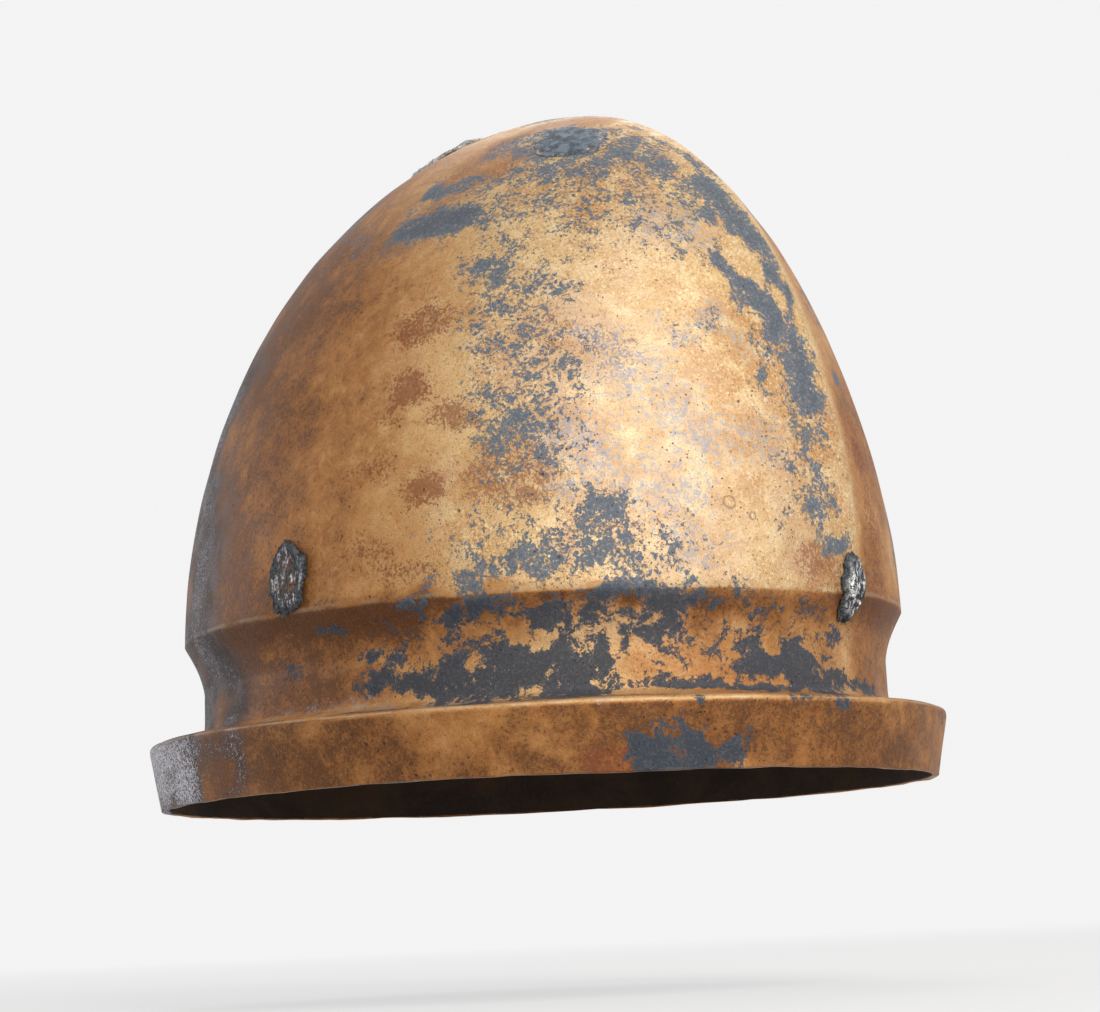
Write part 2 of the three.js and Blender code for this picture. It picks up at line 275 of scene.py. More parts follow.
def show_mix(tree, share, first, second, output_name):
    """Shows a mix of two shaders: just the first where the share is 0, the second where 1."""
    mix = tree.nodes.new("ShaderNodeMixShader")
    tree.links.new(share, mix.inputs["Fac"])
    tree.links.new(first.outputs[0], mix.inputs[1])
    tree.links.new(second.outputs[0], mix.inputs[2])
    tree.links.new(mix.outputs[0], tree.nodes[output_name].inputs["Surface"])


paper = Finish("floor_paint")
paper.feed(paper.surface.inputs["Base Color"], floor_tone)
paper.feed(paper.surface.inputs["Roughness"], floor_roughness)
from_middle = paper.vector("LENGTH", paper.place, result="Value")
glow_share = paper.step(from_middle, floor_fade_from, floor_fade_to, floor_glow, 1)
glow_share = paper.product(ray_seen(paper.tree), glow_share)
glow = paper.tree.nodes.new("ShaderNodeEmission")
glow.inputs["Color"].default_value = surround_tone
show_mix(paper.tree, glow_share, paper.surface, glow, "Material Output")
floor.data.materials.append(paper.material)

surround = bpy.data.worlds.new("surround")
bpy.context.scene.world = surround
surround.use_nodes = True
air = surround.node_tree
seen = air.nodes["Background"]
seen.inputs["Color"].default_value = surround_tone
seen.inputs["Strength"].default_value = 1
fill = air.nodes.new("ShaderNodeBackground")
fill.inputs["Color"].default_value = surround_tone
fill.inputs["Strength"].default_value = fill_strength
show_mix(air, ray_seen(air), fill, seen, "World Output")
bpy.context.scene.view_settings.view_transform = "Standard"

# The bowl
# The helmet is raised from one sheet of bronze: dome with its keel, crease, hollow
# neck, flat brim and upright band. Its long time in the ground has left a honey-brown
# patina on it under flakes of slate-blue crust, with russet and lilac stains.
crease_height = 0.050
keel_sharpness = 0.8
crease_sharpness = 0.95
foot_sharpness = 0.85
band_rows = (0.0012, 0.0045, 0.0085, 0.0125, 0.0158)


def copy_of(node_name, piece_name):
    """A copy of a CAD node's mesh, merged to one closed surface, left in object mode."""
    bpy.ops.object.select_all(action="DESELECT")
    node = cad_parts[node_name]
    piece = node.copy()
    piece.data = node.data.copy()
    piece.name = piece_name
    bpy.context.collection.objects.link(piece)
    bpy.context.view_layer.objects.active = piece
    piece.select_set(True)
    bpy.ops.object.mode_set(mode="EDIT")
    bpy.ops.mesh.select_all(action="SELECT")
    bpy.ops.mesh.remove_doubles(threshold=1e-6)
    bpy.ops.mesh.select_all(action="DESELECT")
    bpy.ops.object.mode_set(mode="OBJECT")
    piece.data.materials.clear()
    return piece


def rows_from_pole(mesh):
    """Every vertex's row, counted from the crown's pole down the outside and up the inside."""
    beside = [[] for _ in mesh.vertices]
    for edge in mesh.edges:
        a, b = edge.vertices
        beside[a].append(b)
        beside[b].append(a)
    pole = max(range(len(beside)), key=lambda i: mesh.vertices[i].co.z)
    row = {pole: 0}
    front = [pole]
    while front:
        following = []
        for a in front:
            for b in beside[a]:
                if b not in row:
                    row[b] = row[a] + 1
                    following.append(b)
        front = following
    return row


def select_edges(mesh, wanted):
    """Selects just these edges; edge mode comes first, or all edges between them join in."""
    bpy.context.tool_settings.mesh_select_mode = (False, True, False)
    for face in mesh.polygons:
        face.select = False
    for vertex in mesh.vertices:
        vertex.select = False
    for edge in mesh.edges:
        edge.select = wanted(edge)


def drop_diagonals(bowl):
    """Takes out the diagonal of each four-sided face, so that the bowl is a clean grid."""
    mesh = bowl.data
    row = rows_from_pole(mesh)
    rings = {}
    for vertex in mesh.vertices:
        turn = (math.atan2(vertex.co.x, -vertex.co.y) + 1e-5) % math.tau
        rings.setdefault(row[vertex.index], []).append((turn, vertex.index))
    column = {}
    for ring in rings.values():
        for place, (_, index) in enumerate(sorted(ring)):
            column[index] = place if len(ring) > 1 else None

    def slants(edge):
        """True between two rows and two columns; an edge to a pole has no column."""
        a, b = edge.vertices
        if column[a] is None or column[b] is None:
            return False
        return row[a] != row[b] and column[a] != column[b]

    select_edges(mesh, slants)
    bpy.ops.object.mode_set(mode="EDIT")
    bpy.ops.mesh.dissolve_edges(use_verts=False)
    bpy.ops.object.mode_set(mode="OBJECT")


def crease_edges(bowl, wanted, sharpness):
    """Gives the wanted edges a crease weight, for the subdivision that follows."""
    select_edges(bowl.data, wanted)
    bpy.ops.object.mode_set(mode="EDIT")
    bpy.ops.transform.edge_crease(value=sharpness)
    bpy.ops.mesh.select_all(action="DESELECT")
    bpy.ops.object.mode_set(mode="OBJECT")


bowl = copy_of("helmet_bowl", "bowl")
drop_diagonals(bowl)

# Rows of their own keep the band upright when the subdivision smooths the bowl.
for height in band_rows:
    bpy.ops.object.mode_set(mode="EDIT")
    bpy.ops.mesh.select_all(action="SELECT")
    bpy.ops.mesh.bisect(plane_co=(0, 0, height), plane_no=(0, 0, 1))
    bpy.ops.object.mode_set(mode="OBJECT")

bowl_row = rows_from_pole(bowl.data)
crease_row = max(
    bowl_row[v.index] for v in bowl.data.vertices if abs(v.co.z - crease_height) < 1e-5)


def ends_of(edge):
    return [bowl.data.vertices[i] for i in edge.vertices]


def on_keel(edge):
    return all(bowl_row[v.index] <= crease_row and abs(v.co.x) < 1e-5 for v in ends_of(edge))


def on_crease(edge):
    return all(bowl_row[v.index] == crease_row for v in ends_of(edge))


def on_foot(edge):
    a, b = ends_of(edge)
    return bowl_row[a.index] == bowl_row[b.index] and max(abs(a.co.z), abs(b.co.z)) < 1e-6


crease_edges(bowl, on_keel, keel_sharpness)
crease_edges(bowl, on_crease, crease_sharpness)
crease_edges(bowl, on_foot, foot_sharpness)

smoothing = bowl.modifiers.new("smoothing", "SUBSURF")
smoothing.levels = smoothing.render_levels = 2
smoothing.use_limit_surface = False
bpy.context.view_layer.objects.active = bowl
bpy.ops.object.modifier_apply(modifier="smoothing")
bpy.ops.object.select_all(action="DESELECT")
bowl.select_set(True)
bpy.ops.object.shade_smooth()

# The brim's top lies nearly flat and meets the neck in a tight bend. Both skins of the
# sheet are drawn in towards the neck there, more the higher they stand over the brim.
neck_side, neck_reach = 0.1005, 0.1085
neck_height = 0.034
inner_neck = -0.0016
outer_brim_height, inner_brim_height = 0.01942, 0.01735
bend_tightness = 9
oval_steps = 8
furthest_out = 0.05
outward_weight = 10


def skin_of(piece):
    """The places and the normals of a piece's vertices, as two arrays."""
    arrays = []
    for kind in ("co", "normal"):
        flat = np.empty(len(piece.data.vertices) * 3)
        piece.data.vertices.foreach_get(kind, flat)
        arrays.append(flat.reshape(-1, 3))
    return arrays


def tighten_bend(piece):
    """Draws both skins in towards the neck. How far out a point lies is counted from the
    neck's oval, and found in a few steps of Newton's method."""
    points, normals = skin_of(piece)
    x, y, z = points.T
    reach_out = np.zeros(len(points))
    for _ in range(oval_steps):
        side, reach = neck_side + reach_out, neck_reach + reach_out
        excess = (x / side) ** 2 + (y / reach) ** 2 - 1
        slope = -2 * (x ** 2 / side ** 3 + y ** 2 / reach ** 3)
        reach_out = reach_out - excess / np.where(slope == 0, -1, slope)
        reach_out = np.clip(reach_out, -furthest_out, furthest_out)
    facing_out = np.sum(normals[:, :2] * points[:, :2], axis=1) * outward_weight
    outer = normals[:, 2] + facing_out > 0
    foot = np.where(outer, outer_brim_height, inner_brim_height)
    at_neck = np.where(outer, 0, inner_neck)
    share = np.clip((neck_height - z) / (neck_height - foot), 0, 1)
    bent = at_neck + (reach_out - at_neck) * share ** bend_tightness
    moves = (z > foot) & (z < neck_height)
    bent = np.where(moves, bent, reach_out)
    points[:, 0] = x * (neck_side + bent) / (neck_side + reach_out)
    points[:, 1] = y * (neck_reach + bent) / (neck_reach + reach_out)
    piece.data.vertices.foreach_set("co", points.ravel())
    piece.data.update()


tighten_bend(bowl)

# The bowl's wear is worked out at every vertex. Stains don't keep to straight lines, so the
# place where each vertex looks is moved a few millimetres by noise before it is held
# against a patch. The noise is seeded, or it would start from the clock on each run.
bowl_points, bowl_normals = skin_of(bowl)
wander_seed = 3
wander_size, wander_reach = 0.015, 0.0042
crumble_size, crumble_reach = 0.0055, 0.0020
patch_core, patch_rim = 0.3, 1.9
island_core, island_rim = 0.6, 1.4
noise.seed_set(wander_seed)
wandering = np.array([
    noise.noise_vector(Vector(p) / wander_size) * wander_reach
    + noise.noise_vector(Vector(p) / crumble_size) * crumble_reach
    for p in bowl_points])
patch_points = bowl_points + wandering


def fade(value, low, high):
    """0 below low, 1 above high and a smooth step between, for an array."""
    share = np.clip((value - low) / (high - low), 0, 1)
    return share * share * (3 - 2 * share)


def on_bowl(x, y):
    """The point of the bowl that the camera sees at this pixel, or the nearest at its edge."""
    way = sight_line(x, y)
    hit, place, _, _ = bowl.ray_cast(camera_place, way)
    if not hit:
        beside = camera_place + way * (helmet_middle - camera_place).length
        _, place, _, _ = bowl.closest_point_on_mesh(beside)
    return np.array(place)


def distance_to_path(path):
    """Every vertex's distance in millimetres to a path over the bowl's surface."""
    places = [on_bowl(x, y) for x, y in path]
    nearest = np.full(len(patch_points), 1e9)
    for start, end in zip(places, places[1:] or places):
        along = end - start
        length = max(along @ along, 1e-12)
        share = np.clip((patch_points - start) @ along / length, 0, 1)
        gap = np.linalg.norm(patch_points - start - share[:, None] * along, axis=1)
        nearest = np.minimum(nearest, gap)
    return nearest / millimetre


def soft_patch(patch, core, rim):
    """The cover of one patch at every vertex: full in its core and gone at its rim. A patch is
    its half width in millimetres, its cover and the pixels that it runs through."""
    half_width, strength, path = patch
    away = fade(distance_to_path(path), half_width * core, half_width * rim)
    return (1 - away) * strength


def painted(patches):
    """The cover that a group of patches gives every vertex."""
    cover = np.zeros(len(bowl_points))
    for patch in patches.values():
        cover = np.maximum(cover, soft_patch(patch, patch_core, patch_rim))
    return cover


def cleared(cover, patches):
    """Takes the cover away again where bare islands lie in it."""
    for patch in patches.values():
        cover = cover * (1 - soft_patch(patch, island_core, island_rim))
    return cover


def cloud(size, shift, depth):
    """Soft noise at every vertex, about 0 to 1, with blotches of this size in metres."""
    offset = Vector((shift, shift * 0.7, -shift))
    scale = 1 / size
    values = [
        noise.fractal(Vector(p) * scale + offset, 1, 2, depth) for p in bowl_points]
    return np.clip(np.array(values) * 0.5 + 0.5, 0, 1)


def blotches(size, shift, low, high, depth=3):
    """Soft-edged blotches, 0 to 1, where the cloudy noise passes from low to high."""
    return fade(cloud(size, shift, depth), low, high)


def keep_on(piece, name, values):
    """Stores one float for each vertex, which the piece's material reads by name."""
    attribute = piece.data.attributes.new(name, "FLOAT", "POINT")
    attribute.data.foreach_set("value", np.asarray(values, np.float32))


slate_patches = {
    "shoulder_band": (3.0, 0.75, [(640, 130), (672, 148), (700, 168)]),
    "shoulder": (6.5, 0.86, [(704, 182), (722, 205), (742, 228), (757, 246)]),
    "shoulder_left": (5.0, 0.7, [(690, 188), (705, 215)]),
    "island_left_arm": (3.6, 0.9, [(714, 238), (712, 254), (727, 270)]),
    "island_right_arm": (4.8, 0.84, [(757, 242), (768, 266), (775, 290)]),
    "below_island": (6.5, 0.85, [(742, 284), (764, 305), (774, 335)]),
    "below_island_right": (3.2, 0.85, [(784, 288), (792, 318)]),
    "below_island_left": (4.0, 0.5, [(728, 285), (742, 310)]),
    "keel_flank": (6.6, 0.9, [(798, 350), (803, 375), (808, 398)]),
    "keel_flank_low": (4.6, 0.62, [(800, 408), (812, 440)]),
    "keel_flank_left": (3.0, 0.7, [(765, 366), (772, 392)]),
    "keel_speckle": (7.0, 0.5, [(806, 425), (816, 468), (822, 488)]),
    "keel_spot": (2.0, 0.9, [(785, 466), (789, 470)]),
    "keel_spot_low": (2.4, 0.85, [(812, 494), (816, 524)]),
    "keel_spot_right": (2.4, 0.6, [(830, 496), (831, 506)]),
    "over_front_crust": (3.2, 0.85, [(822, 540), (842, 542)]),
    "beyond_keel": (2.2, 0.9, [(827, 354), (834, 376)]),
    "low_streak": (2.6, 0.5, [(775, 530), (790, 515), (802, 506)]),
    "crown": (4.0, 0.7, [(525, 172), (560, 176), (600, 174)]),
    "crown_right": (4.2, 0.6, [(618, 192), (642, 196)]),
    "crown_speckle": (9.0, 0.4, [(505, 205), (560, 215), (610, 222)]),
    "crown_left_dense": (5.5, 0.95, [(406, 230), (440, 224), (476, 208)]),
    "crown_left_upper": (5.0, 0.8, [(430, 192), (468, 186)]),
    "crown_left_wide": (11.0, 0.45, [(398, 238), (450, 215), (500, 205)]),
    "left_fine": (4.5, 0.4, [(338, 242), (372, 240)]),
    "ring_mark": (2.0, 0.8, [(482, 276), (484, 264), (498, 262), (504, 272), (498, 282)]),
    "middle_1": (3.4, 0.6, [(484, 302), (487, 305)]),
    "middle_2": (5.0, 0.5, [(472, 312), (488, 336)]),
    "middle_3": (3.4, 0.5, [(526, 298), (534, 300)]),
    "middle_4": (4.2, 0.5, [(546, 300), (574, 292)]),
    "middle_5": (4.4, 0.5, [(542, 348), (548, 354)]),
    "middle_6": (4.2, 0.6, [(482, 388), (500, 384)]),
    "middle_7": (3.0, 0.7, [(514, 392), (520, 394)]),
    "middle_8": (4.2, 0.5, [(486, 404), (500, 412)]),
    "middle_9": (4.2, 0.7, [(512, 420), (532, 430)]),
    "middle_10": (4.4, 0.5, [(480, 436), (502, 432)]),
    "middle_speckle": (16.0, 0.43, [(505, 270), (525, 340), (515, 400), (525, 436)]),
    "crown_wide": (17.0, 0.41, [(430, 205), (520, 200), (610, 205), (680, 215)]),
    "crown_top_wide": (9.0, 0.55, [(500, 150), (560, 135), (640, 145)]),
    "film_fringe": (6.0, 0.75, [(604, 148), (640, 158), (660, 168)]),
    "film_near": (5.0, 0.6, [(520, 150), (560, 166), (610, 160)]),
    "keel_wide": (12.0, 0.30, [(760, 300), (790, 380), (800, 460)]),
    "low_wide": (12.0, 0.30, [(450, 560), (560, 530), (680, 560)]),
    "neck_wide": (12.0, 0.34, [(420, 640), (560, 630), (680, 640), (820, 640)]),
    "middle_right": (5.0, 0.35, [(680, 335), (716, 318)]),
    "low_triangle": (8.0, 0.60, [(530, 558), (575, 546), (620, 552)]),
    "low_triangle_peak": (6.5, 0.62, [(575, 530), (600, 508)]),
    "low_triangle_left": (4.6, 0.68, [(458, 578), (500, 566), (530, 560)]),
    "low_triangle_right": (3.4, 0.6, [(640, 560), (674, 560)]),
    "under_crease": (3.6, 0.9, [(605, 593), (640, 591), (682, 593)]),
    "under_crease_right": (3.4, 0.85, [(668, 602), (680, 622)]),
    "neck_dense": (8.5, 1.0, [(455, 676), (520, 664), (590, 668)]),
    "neck_dense_left": (4.0, 1.0, [(376, 691), (410, 686), (440, 688)]),
    "neck_left_spot": (3.4, 0.6, [(382, 664), (398, 662)]),
    "neck_upper_left": (5.0, 0.75, [(460, 613), (500, 611)]),
    "neck_upper": (5.0, 0.85, [(505, 627), (576, 625)]),
    "neck_mixed": (7.0, 0.6, [(604, 620), (646, 626)]),
    "neck_low_band": (3.4, 0.75, [(600, 683), (700, 683)]),
    "neck_right": (5.4, 0.85, [(745, 650), (796, 652)]),
    "neck_right_low": (6.0, 0.85, [(795, 662), (826, 684)]),
    "neck_specks": (8.0, 0.32, [(712, 602), (802, 622)]),
    "neck_speck": (3.0, 0.45, [(704, 645), (714, 647)]),
    "flare_line": (2.6, 0.85, [(675, 686), (780, 689), (872, 690)]),
    "neck_dot_1": (1.6, 0.9, [(394, 605), (398, 606)]),
    "neck_dot_2": (1.6, 0.9, [(413, 605), (418, 606)]),
    "neck_dot_3": (2.0, 0.8, [(324, 630), (330, 632)]),
    "neck_dot_4": (2.0, 0.8, [(343, 628), (348, 629)]),
    "neck_dot_5": (3.0, 0.5, [(280, 662), (300, 674)]),
    "band_slate": (5.0, 0.85, [(645, 756), (690, 746), (734, 758)]),
    "band_mark_1": (2.0, 0.6, [(688, 705), (696, 706)]),
    "band_mark_2": (2.2, 0.6, [(800, 702), (848, 706)]),
}
bare_patches = {
    "gold_island": (5.2, 1.0, [(737, 248), (748, 264)]),
    "gold_spot_1": (1.8, 0.9, [(688, 196), (692, 199)]),
    "gold_spot_2": (2.6, 0.9, [(704, 228), (708, 240)]),
    "gold_spot_3": (2.4, 0.8, [(776, 296), (784, 306)]),
    "gold_by_keel": (2.2, 0.8, [(770, 246), (790, 284), (806, 330)]),
    "neck_gold_1": (3.6, 0.95, [(506, 634), (514, 636)]),
    "neck_gold_2": (3.2, 0.95, [(538, 639), (544, 641)]),
    "neck_gold_3": (2.0, 0.9, [(480, 655), (486, 664)]),
    "neck_gold_4": (2.4, 0.9, [(553, 630), (558, 631)]),
    "neck_gold_5": (2.2, 0.8, [(768, 634), (778, 636)]),
}
haze_patches = {
    "haze_1": (4.0, 0.8, [(583, 334), (588, 337)]),
    "haze_2": (7.0, 0.8, [(606, 346), (634, 376)]),
    "haze_3": (7.0, 0.7, [(655, 370), (680, 396)]),
    "haze_4": (8.0, 0.8, [(665, 410), (696, 436)]),
    "haze_5": (9.0, 0.75, [(566, 430), (600, 460)]),
    "haze_6": (3.2, 0.9, [(556, 488), (576, 491)]),
    "haze_7": (8.0, 0.7, [(630, 476), (696, 494)]),
    "haze_8": (7.0, 0.7, [(664, 512), (690, 550)]),
    "haze_9": (4.0, 0.8, [(684, 338), (714, 315)]),
    "haze_10": (3.4, 0.6, [(656, 318), (664, 320)]),
    "haze_11": (8.0, 0.6, [(700, 430), (758, 440)]),
    "haze_12": (14.0, 0.35, [(600, 390), (660, 460), (700, 520)]),
    "haze_13": (4.0, 0.6, [(730, 330), (745, 345)]),
    "grey_veil": (8.0, 0.7, [(655, 226), (690, 226)]),
    # Painted highlight: a pale line along the brim, in the haze's lilac
    "ledge_highlight": (2.4, 0.6, [(270, 716), (400, 708), (600, 700)]),
}
russet_patches = {
    "russet_1": (6.5, 0.80, [(416, 328), (430, 318)]),
    "russet_2": (4.6, 0.95, [(402, 387), (414, 384)]),
    "russet_3": (2.8, 0.8, [(386, 414), (390, 418)]),
    "russet_4": (5.0, 0.85, [(446, 410), (468, 414)]),
    "russet_5": (4.4, 0.95, [(406, 490), (430, 488)]),
    "russet_6": (4.0, 0.5, [(355, 478), (380, 468)]),
    "russet_7": (7.0, 0.66, [(486, 482), (522, 484)]),
    "russet_8": (7.0, 0.6, [(496, 458), (540, 470)]),
    "russet_9": (4.0, 0.55, [(350, 553), (380, 551)]),
    "russet_10": (4.0, 0.55, [(390, 570), (422, 566)]),
    "russet_11": (7.0, 0.65, [(812, 560), (836, 572)]),
    "russet_12": (9.0, 0.4, [(560, 330), (606, 344)]),
    "russet_13": (4.0, 0.6, [(605, 132), (676, 142)]),
    "russet_14": (6.0, 0.5, [(500, 172), (530, 158)]),
    "russet_15": (5.0, 0.6, [(856, 440), (868, 500), (876, 560)]),
    "russet_16": (7.0, 0.4, [(880, 600), (890, 650)]),
    "russet_17": (3.4, 0.9, [(586, 757), (618, 762)]),
}
# Brown patches: the shade_ ones are painted shade on the left neck, under the crease and at the band's
# left end; the brown_and_shade_ ones on the left flank are partly brown patina, partly painted shade; the
# others deepen the brown
brown_and_shade_patches = {
    "umber_1": (6.0, 0.55, [(345, 292), (374, 264)]),
    "umber_2": (6.0, 0.5, [(328, 330), (344, 304)]),
    "brown_and_shade_left": (17.0, 0.5, [(228, 520), (250, 420), (300, 320)]),
    "brown_and_shade_left_low": (14.0, 0.6, [(235, 600), (262, 540)]),
    "shade_neck": (9.0, 0.85, [(240, 662), (320, 640), (400, 626)]),
    "umber_neck_thin": (9.0, 0.5, [(400, 640), (500, 620)]),
    "shade_under_crease": (3.2, 0.9, [(250, 622), (330, 606), (430, 598)]),
    "shade_under_crease_right": (2.2, 0.6, [(430, 598), (600, 594), (860, 612)]),
    "shade_neck_left": (9.0, 1.0, [(232, 640), (250, 690)]),
    "shade_band_left": (11.0, 0.95, [(212, 762), (270, 758), (330, 764)]),
    "umber_band_foot": (3.0, 0.85, [(230, 786), (420, 782), (560, 776)]),
    "umber_band_stain": (5.0, 0.9, [(500, 748), (540, 770)]),
    "umber_crown": (8.0, 0.5, [(430, 215), (500, 160)]),
    "umber_band": (5.0, 0.7, [(330, 764), (440, 764)]),
    "umber_neck_right": (5.0, 0.7, [(700, 612), (860, 612)]),
    "umber_crown_rim": (6.0, 0.62, [(440, 188), (490, 150), (545, 127), (605, 120)]),
    "band_right_end": (9.0, 0.6, [(900, 700), (960, 740)]),
}
# Painted highlight: a paler cream where the key lamp's highlight falls, over the middle of the dome,
# below the crown and by the keel
painted_highlight_patches = {
    "pale_middle": (24.0, 0.8, [(600, 340), (640, 430), (670, 520)]),
    "pale_crown": (12.0, 0.5, [(640, 240), (620, 300)]),
    "pale_keel": (8.0, 0.6, [(760, 420), (790, 540)]),
}
# Painted sheen: grey-violet grains where the cool rim lamp grazes the left edge
rim_sheen_patches = {
    "sheen_left": (24.0, 0.9, [(190, 640), (196, 560), (206, 480), (222, 420)]),
    "sheen_neck": (16.0, 0.85, [(200, 680), (225, 700)]),
    "sheen_band": (15.0, 1.0, [(150, 772), (180, 770)]),
    "sheen_band_right": (8.0, 0.5, [(200, 768), (235, 764)]),
}

# Where a kind of wear or painted shade comes or goes: heights over the foot and distances from the keel
# in millimetres, and how far the surface faces the camera or the picture's left, -1 to 1
crown_zone = (90, 190)
neck_foot_zone, neck_top_zone = (16, 24), (44, 52)
band_top_zone, crease_zone, solid_zone = (17.2, 18.8), (45, 51), (46, 53)
foot_zone = (0.3, 1.2)
brim_edge_height, brim_edge_width = 18.6, 0.7
keel_zone, beyond_keel_zone = (8, 34), (0.2, 9)
seen_zone, turned_away_zone, flank_zone = (0.02, 0.22), (0.0, 0.35), (0.10, 0.82)

toward_camera = np.array(camera_place) - bowl_points
toward_camera /= np.linalg.norm(toward_camera, axis=1)[:, None]
facing = np.sum(toward_camera * bowl_normals, axis=1)
unseen = 1 - fade(facing, *seen_zone)
heights = bowl_points[:, 2] / millimetre
near_crown = fade(heights, *crown_zone)
on_neck = fade(heights, *neck_foot_zone) * (1 - fade(heights, *neck_top_zone))
near_keel = 1 - fade(np.abs(bowl_points[:, 0]) / millimetre, *keel_zone)
below_crease = 1 - fade(heights, *crease_zone)
on_band = 1 - fade(heights, *band_top_zone)
# Painted shade: darker on the flank that faces the picture's left, away from the key lamp, and on the
# half beyond the keel
shaded_flank = fade(bowl_normals @ -np.array(picture_right), *flank_zone)
beyond_keel = fade(bowl_points[:, 0] / millimetre, *beyond_keel_zone)
shaded_other_half = beyond_keel * fade(-bowl_points[:, 1], 0.0, 0.06)

# The photo's stains lie where it shows them, and looser ones on the sides that it doesn't.
slate_density = cloud(0.05, 3.1, 6) + near_crown * 0.07 + on_neck * 0.07 + near_keel * 0.05
slate_field = fade(slate_density, 0.54, 0.86) * 0.78
thin_field = fade(cloud(0.08, 4.3, 4) + near_crown * 0.15, 0.45, 0.75) * 0.34
slate = cleared(painted(slate_patches), bare_patches)
slate = np.maximum(slate, np.maximum(slate_field, thin_field) * unseen)
haze = np.maximum(painted(haze_patches), blotches(0.04, 9.4, 0.55, 0.9, 5) * unseen * 0.45)
russet = np.maximum(painted(russet_patches), blotches(0.03, 17.0, 0.6, 0.8) * unseen * 0.9)
# Painted highlight over the middle of the dome
pale = painted(painted_highlight_patches)
# Painted sheen of the rim lamp on the left edge, weaker where the surface turns from the camera
rim_sheen = painted(rim_sheen_patches) * blotches(0.022, 33.0, 0.05, 0.5, 4)
rim_sheen = rim_sheen * (1 - 0.6 * fade(-facing, *turned_away_zone))
# Below the crease the flakes are more solid; the same value also darkens them there as painted shade
solid = np.maximum(1 - fade(heights, *solid_zone), fade(slate, 0.7, 1.0) * 0.3)

# The brown lies deeper in these places: the least depth, and how much more in blotches.
# On the unseen side and on the band it is brown patina; below the crease, on the flank that
# faces the picture's left and on the far half beyond the keel it is painted shade.
umber_and_shade = painted(brown_and_shade_patches)
for where, least, more, blotched in (
    (unseen, 0, 0.7, blotches(0.06, 25.0, 0.45, 0.75)),
    (below_crease, 0.18, 0.32, blotches(0.045, 12.0, 0.35, 0.65)),
    (on_band, 0.56, 0.34, blotches(0.03, 14.0, 0.3, 0.7, 4)),
    (shaded_flank, 0.78, 0.26, blotches(0.03, 8.0, 0.3, 0.7, 4)),
    (shaded_other_half, 0.40, 0.34, blotches(0.04, 61.0, 0.3, 0.7, 4)),
):
    umber_and_shade = np.maximum(umber_and_shade, where * (least + more * blotched))

foot_wear = (1 - fade(heights, *foot_zone)) * 0.55
brim_wear = np.exp(-((heights - brim_edge_height) / brim_edge_width) ** 2) * 0.7
for name, values in (
    ("slate", slate), ("haze", haze), ("russet", russet), ("umber_and_shade", umber_and_shade), ("rim_sheen", rim_sheen),
    ("edge_wear", np.maximum(foot_wear, brim_wear)), ("solid", solid), ("pale", pale),
):
    keep_on(bowl, name, values)

# Hammering, and the small knocks of long use, move the sheet by tenths of a millimetre.
hammer_depth = 0.00022
swell_depth = 0.00035
foot_waver, foot_waver_zone = 0.0007, (0.5, 5)
swell = cloud(0.075, 41.0, 2) - 0.5
hammer = cloud(0.022, 47.0, 2) - 0.5
near_foot = 1 - fade(heights, *foot_waver_zone)
foot_swell = (cloud(0.018, 53.0, 3) - 0.5) * near_foot * foot_waver
moved = bowl_points + bowl_normals * (swell * swell_depth * 2 + hammer * hammer_depth * 2)[:, None]
moved[:, 2] += foot_swell
bowl.data.vertices.foreach_set("co", moved.ravel())
bowl.data.update()

# The patina's colours
honey = paint(214, 178, 126)
straw = paint(236, 212, 164)
cream = paint(248, 234, 200)
ochre = paint(198, 154, 102)
highlight_cream = paint(226, 202, 178)
blush = paint(208, 166, 128)
amber = paint(148, 87, 37)
amber_pale = paint(193, 133, 70)
russet_brown = paint(128, 70, 44)
umber_brown = paint(74, 38, 18)
slate_dark = paint(50, 61, 73)
slate_mid = paint(100, 114, 129)
slate_pale = paint(154, 163, 173)
lilac = paint(140, 149, 164)
soot = paint(52, 40, 34)
bare_metal = paint(206, 184, 150)
sheen_grey = paint(194, 190, 196)

# Marks that stand alone: a line's half width or a pit's radius in millimetres, and where
# the camera sees it
line_marks = {
    "band_crack": (0.55, [(352, 736), (378, 752), (402, 774), (430, 776)]),
    "crown_scratch": (0.45, [(553, 183), (578, 191), (600, 200)]),
    "crown_scratch_short": (0.4, [(585, 208), (601, 202)]),
    "band_fold": (0.45, [(700, 712), (716, 729), (736, 734)]),
    "band_grain": (0.35, [(800, 768), (822, 758), (842, 754)]),
    "band_nick": (0.5, [(848, 724), (860, 712)]),
    "dome_hairline": (0.3, [(640, 205), (668, 196), (688, 199)]),
}
pit_marks = {
    "dome_pit": (1.7, (730, 502)),
    "dome_pit_small": (1.0, (753, 516)),
}

# The painted shade under the crease and the bright line along it, partly rubbed metal and partly a
# painted highlight: heights and reach in millimetres, and how deep the painted shade is
crease_shade_edge, crease_shade_fade, crease_shade_depth = (50.1, 49.2), (39, 48.5), 0.42
rubbed_highlight_height, rubbed_highlight_reach = 50.7, 0.9


